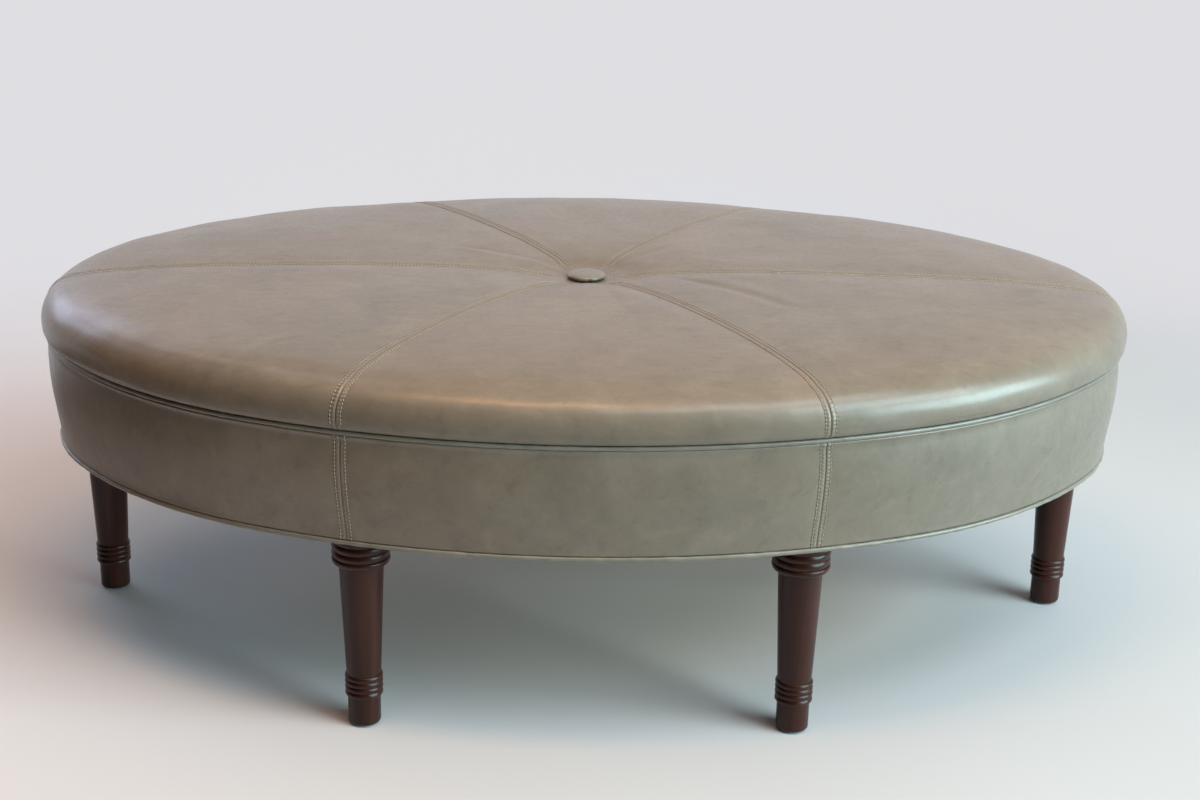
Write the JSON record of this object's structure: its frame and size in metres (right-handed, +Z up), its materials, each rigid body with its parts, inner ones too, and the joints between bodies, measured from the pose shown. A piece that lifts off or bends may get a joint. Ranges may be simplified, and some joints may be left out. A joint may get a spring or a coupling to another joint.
{
  "type": "ottoman coffee table",
  "caption": "Oval ottoman coffee table: crowned, button-tufted leather pad with welts over a tapered leather apron, on turned legs with reeded collars and ankles.",
  "frame": {"origin": "on the floor under the middle of the oval, midway between all six feet", "axes": "+X along the length (towards the right-hand end in the picture), +Y towards the back (away from the camera), +Z up"},
  "size_m": [1.383, 0.925, 0.46],
  "materials": {
    "leather": "semi-gloss, finely grained, lightly mottled grey-taupe",
    "welt_leather": "semi-gloss, finely grained grey-taupe",
    "leg_wood": "dark brown stain under satin lacquer",
    "frame_hardwood": "planed, unfinished",
    "plywood": "unfinished birch plywood",
    "zinc_steel": "zinc plated",
    "insert_brass": "bright turned",
    "glide_plastic": "moulded, matt black",
    "foam": "open-cell upholstery foam",
    "wadding": "bonded polyester wadding",
    "card": "grey-brown tack card",
    "welt_cord": "twisted paper cord",
    "twine": "waxed nylon twine",
    "dust_cloth": "black spun-bonded cloth"
  },
  "bodies": {
    "root": {"deck_panel": "plywood", "bottom_board": "plywood", "long_rail_front": "plywood", "long_rail_back": "plywood", "cross_rib_1": "plywood", "cross_rib_2": "plywood", "cross_rib_3": "plywood", "cross_rib_4": "plywood", "leg_post_right_end": "frame_hardwood", "leg_post_back_right": "frame_hardwood", "leg_post_back_left": "frame_hardwood", "leg_post_left_end": "frame_hardwood", "leg_post_front_left": "frame_hardwood", "leg_post_front_right": "frame_hardwood", "apron_skin_back_right": "plywood", "apron_skin_back_left": "plywood", "apron_skin_front_left": "plywood", "apron_skin_front_right": "plywood", "deck_screws": "zinc_steel", "board_screws": "zinc_steel", "leg_right_end": "leg_wood", "leg_back_right": "leg_wood", "leg_back_left": "leg_wood", "leg_left_end": "leg_wood", "leg_front_left": "leg_wood", "leg_front_right": "leg_wood", "foot_glides": "glide_plastic", "hanger_bolts": "zinc_steel", "threaded_inserts": "insert_brass", "foam_core": "foam", "wadding_layer": "wadding", "top_leather_back_right": "leather", "top_leather_back": "leather", "top_leather_back_left": "leather", "top_leather_front_left": "leather", "top_leather_front": "leather", "top_leather_front_right": "leather", "band_leather_back_right": "leather", "band_leather_back": "leather", "band_leather_back_left": "leather", "band_leather_front_left": "leather", "band_leather_front": "leather", "band_leather_front_right": "leather", "band_padding": "foam", "tack_strip": "card", "upper_welt_cover": "welt_leather", "upper_welt_cord": "welt_cord", "lower_welt_cover": "welt_leather", "lower_welt_cord": "welt_cord", "dust_cover": "dust_cloth", "button_cover": "leather", "button_back": "zinc_steel", "tufting_twine": "twine", "twine_toggle": "frame_hardwood"}
  },
  "joints": []
}
